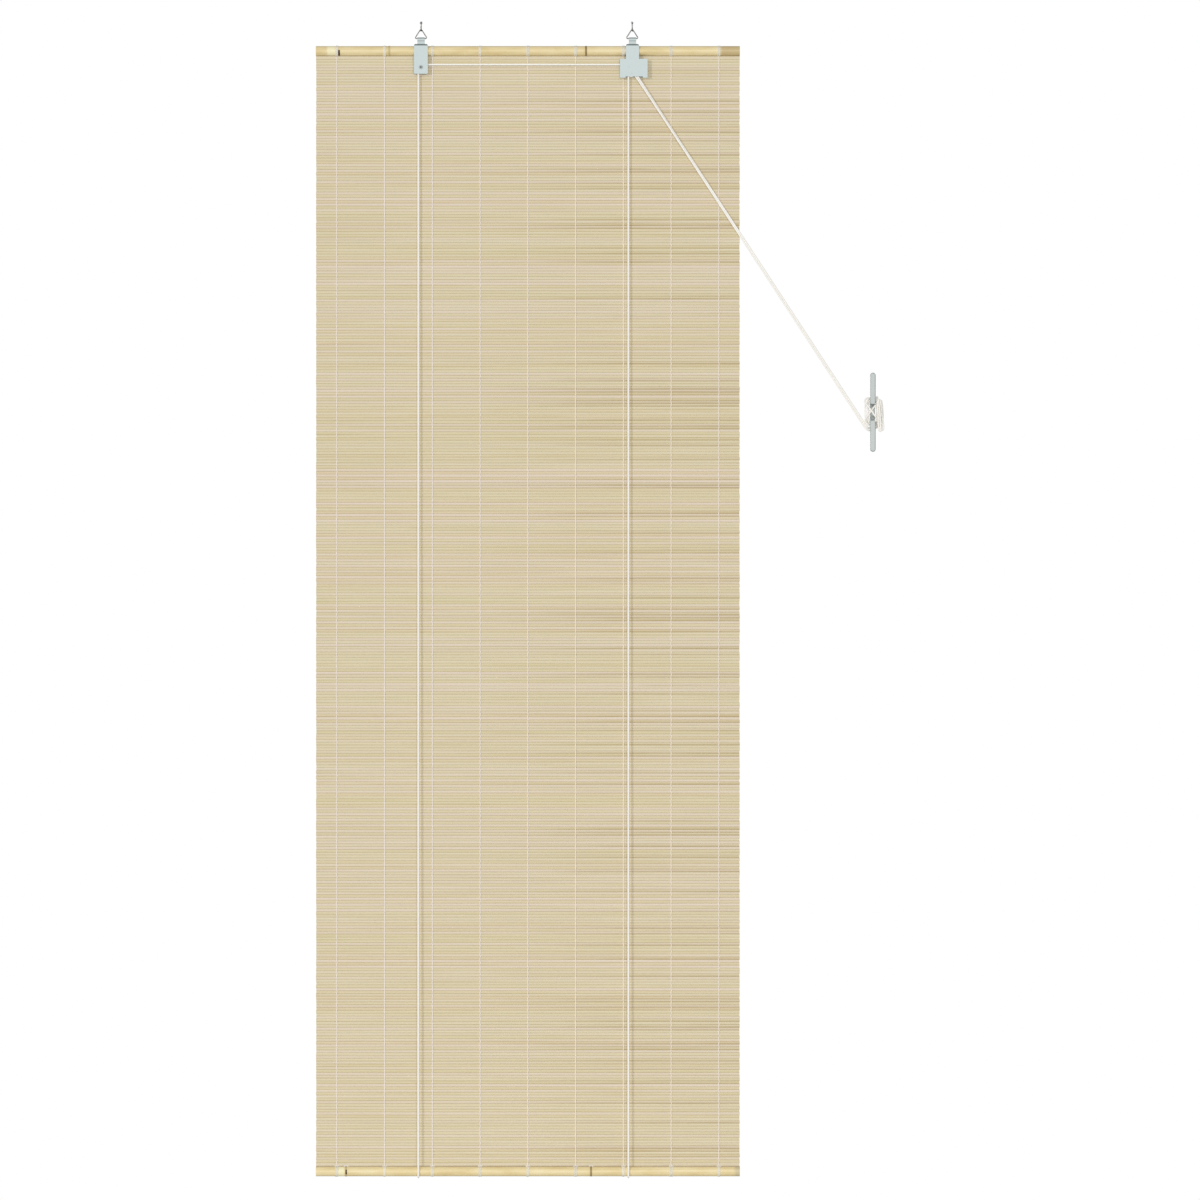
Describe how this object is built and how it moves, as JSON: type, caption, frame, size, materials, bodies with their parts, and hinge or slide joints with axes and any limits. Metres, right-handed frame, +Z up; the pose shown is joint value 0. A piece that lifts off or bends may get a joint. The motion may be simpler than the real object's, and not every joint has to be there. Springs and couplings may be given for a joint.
{
  "type": "bamboo roll-up blind",
  "caption": "Natural bamboo slat blind that rolls up from below on two cords, hung from two wall hooks, with pulleys and a wall cleat",
  "frame": {"origin": "on the wall, midway between the two hook screws", "axes": "+X right along the wall, +Y into the wall, +Z up"},
  "size_m": [0.8036, 0.0418, 1.6389],
  "materials": {
    "left_hook": "zinc-plated wire",
    "right_hook": "zinc-plated wire",
    "left_ring": "zinc-plated wire",
    "right_ring": "zinc-plated wire",
    "left_bracket": "zinc-plated sheet",
    "right_bracket": "zinc-plated sheet",
    "right_bracket_rear_plate": "zinc-plated sheet",
    "left_pulley_rivet": "zinc-plated",
    "right_bracket_pins": "zinc-plated",
    "bracket_screws": "zinc-plated",
    "cleat_screws": "zinc-plated",
    "cleat": "cast zinc, plated",
    "left_pulley": "white nylon",
    "header_pulley": "white nylon",
    "lift_pulley": "white nylon",
    "top_rod": "natural bamboo culm",
    "bottom_rod": "natural bamboo culm",
    "slat_mat": "natural bamboo slats",
    "front_warp_threads": "cotton thread",
    "back_warp_threads": "cotton thread",
    "top_rod_bindings": "cotton thread",
    "bottom_rod_bindings": "cotton thread",
    "header_cord": "white braided cord",
    "lift_pulley_cord": "white braided cord",
    "header_pull_cord": "white braided cord",
    "lift_pull_cord": "white braided cord",
    "left_front_cord": "white braided cord",
    "right_front_cord": "white braided cord",
    "left_back_cord": "white braided cord",
    "right_back_cord": "white braided cord",
    "left_cord_bight": "white braided cord",
    "right_cord_bight": "white braided cord",
    "left_anchor_knot": "white braided cord",
    "right_anchor_knot": "white braided cord",
    "cleat_winding": "white braided cord",
    "cord_tail": "white braided cord"
  },
  "bodies": {
    "wall_fixings": {"left_hook": "left_hook", "right_hook": "right_hook", "left_ring": "left_ring", "right_ring": "right_ring", "cleat": "cleat", "cleat_screws": "cleat_screws", "cleat_winding": "cleat_winding", "cord_tail": "cord_tail"},
    "headrail": {"top_rod": "top_rod", "top_rod_bindings": "top_rod_bindings", "left_bracket": "left_bracket", "left_pulley_rivet": "left_pulley_rivet", "right_bracket": "right_bracket", "right_bracket_rear_plate": "right_bracket_rear_plate", "right_bracket_pins": "right_bracket_pins", "bracket_screws": "bracket_screws", "slat_mat": "slat_mat", "front_warp_threads": "front_warp_threads", "back_warp_threads": "back_warp_threads", "header_cord": "header_cord", "lift_pulley_cord": "lift_pulley_cord", "header_pull_cord": "header_pull_cord", "lift_pull_cord": "lift_pull_cord", "left_front_cord": "left_front_cord", "right_front_cord": "right_front_cord", "left_back_cord": "left_back_cord", "right_back_cord": "right_back_cord", "left_anchor_knot": "left_anchor_knot", "right_anchor_knot": "right_anchor_knot"},
    "left_wheel": {"left_pulley": "left_pulley"},
    "header_wheel": {"header_pulley": "header_pulley"},
    "lift_wheel": {"lift_pulley": "lift_pulley"},
    "cord_slings": {"left_cord_bight": "left_cord_bight", "right_cord_bight": "right_cord_bight"},
    "rolling_rod": {"bottom_rod": "bottom_rod", "bottom_rod_bindings": "bottom_rod_bindings"}
  },
  "joints": [
    {"name": "blind_swing", "type": "hinge", "parent": "wall_fixings", "child": "headrail", "pos_m": [0, -0.012, -0.02339], "axis": [-1, 0, 0], "range_deg": [0, 30], "deforming": ["header_pull_cord", "lift_pull_cord"]},
    {"name": "blind_lift", "type": "slide", "parent": "headrail", "child": "cord_slings", "axis": [0, 0, 1], "range_m": [0, 1.5], "deforming": ["slat_mat", "front_warp_threads", "back_warp_threads", "left_front_cord", "right_front_cord", "left_back_cord", "right_back_cord"]},
    {"name": "rod_roll", "type": "hinge", "parent": "cord_slings", "child": "rolling_rod", "pos_m": [0.0018, -0.012, -1.62704], "axis": [-1, 0, 0], "range_deg": [0, 4390]},
    {"name": "left_wheel_spin", "type": "hinge", "parent": "headrail", "child": "left_wheel", "pos_m": [-0.1495, -0.01675, -0.06429], "axis": [0, 1, 0], "continuous": true},
    {"name": "header_wheel_spin", "type": "hinge", "parent": "headrail", "child": "header_wheel", "pos_m": [0.1445, -0.01675, -0.06429], "axis": [0, 1, 0], "continuous": true},
    {"name": "lift_wheel_spin", "type": "hinge", "parent": "headrail", "child": "lift_wheel", "pos_m": [0.1477, -0.01675, -0.07379], "axis": [0, 1, 0], "continuous": true}
  ],
  "couplings": [
    {"joint": "rod_roll", "follows": "blind_lift", "rad_per_m": 51},
    {"joint": "left_wheel_spin", "follows": "blind_lift", "rad_per_m": 540.54},
    {"joint": "header_wheel_spin", "follows": "blind_lift", "rad_per_m": 540.54},
    {"joint": "lift_wheel_spin", "follows": "blind_lift", "rad_per_m": 540.54}
  ]
}
